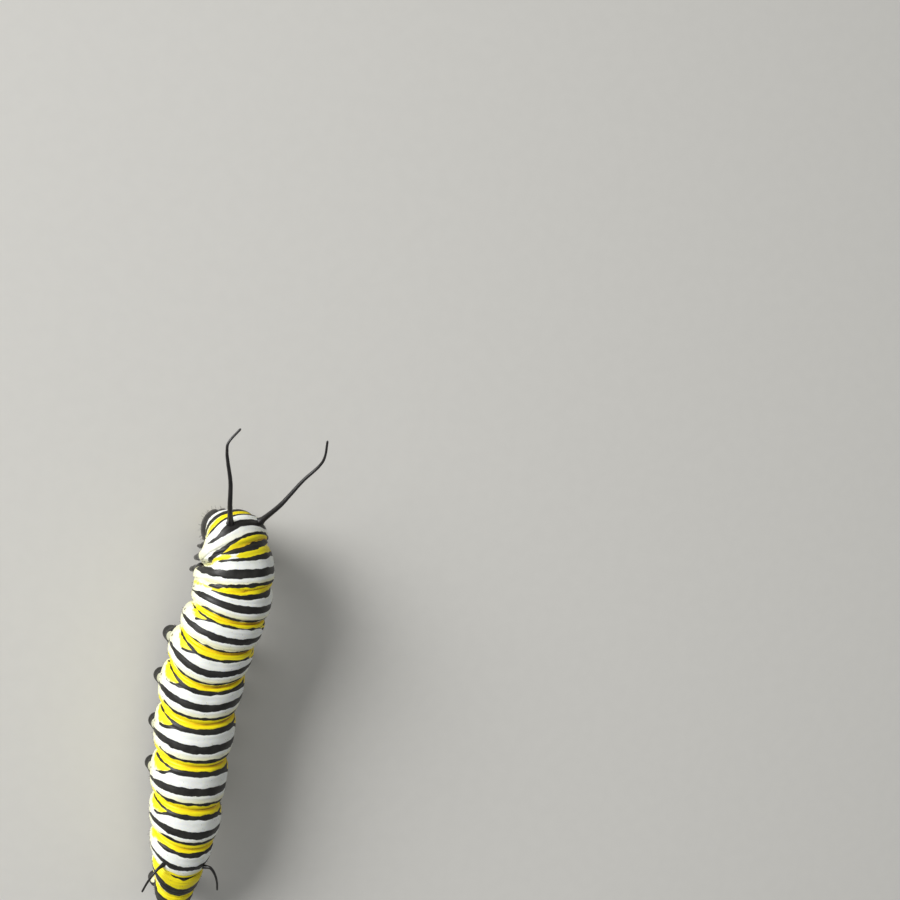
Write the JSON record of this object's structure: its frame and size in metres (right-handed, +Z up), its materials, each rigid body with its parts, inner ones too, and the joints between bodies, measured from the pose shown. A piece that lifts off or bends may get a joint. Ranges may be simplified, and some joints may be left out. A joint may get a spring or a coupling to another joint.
{
  "type": "monarch butterfly larva",
  "caption": "Still life-size butterfly larva on its prolegs: banded tube of segments, two long front feelers, two short rear ones, head bent down.",
  "frame": {"origin": "middle of the bottom of the whole part's box, on the floor that the soles stand on", "axes": "+Y towards the head end, along the body and the feelers; +Z up; +X to the larva's right"},
  "size_m": [0.012, 0.0484, 0.0123],
  "materials": {
    "banded_skin": "satin soft skin with white, black and yellow bands",
    "black_cuticle": "satin black cuticle",
    "head_capsule": "glossy hard cuticle, striped black, white and yellow"
  },
  "bodies": {
    "root": {"head": "head_capsule", "thorax_1": "banded_skin", "thorax_2": "banded_skin", "thorax_3": "banded_skin", "abdomen_1": "banded_skin", "abdomen_2": "banded_skin", "abdomen_3": "banded_skin", "abdomen_4": "banded_skin", "abdomen_5": "banded_skin", "abdomen_6": "banded_skin", "abdomen_7": "banded_skin", "abdomen_8": "banded_skin", "abdomen_9": "banded_skin", "abdomen_10": "banded_skin", "leg_1_left": "black_cuticle", "leg_1_right": "black_cuticle", "leg_2_left": "black_cuticle", "leg_2_right": "black_cuticle", "leg_3_left": "black_cuticle", "leg_3_right": "black_cuticle", "proleg_3_left": "black_cuticle", "proleg_3_right": "black_cuticle", "proleg_4_left": "black_cuticle", "proleg_4_right": "black_cuticle", "proleg_5_left": "black_cuticle", "proleg_5_right": "black_cuticle", "proleg_6_left": "black_cuticle", "proleg_6_right": "black_cuticle", "anal_proleg_left": "black_cuticle", "anal_proleg_right": "black_cuticle", "front_feeler_left": "black_cuticle", "front_feeler_right": "black_cuticle", "rear_feeler_left": "black_cuticle", "rear_feeler_right": "black_cuticle"}
  },
  "joints": []
}
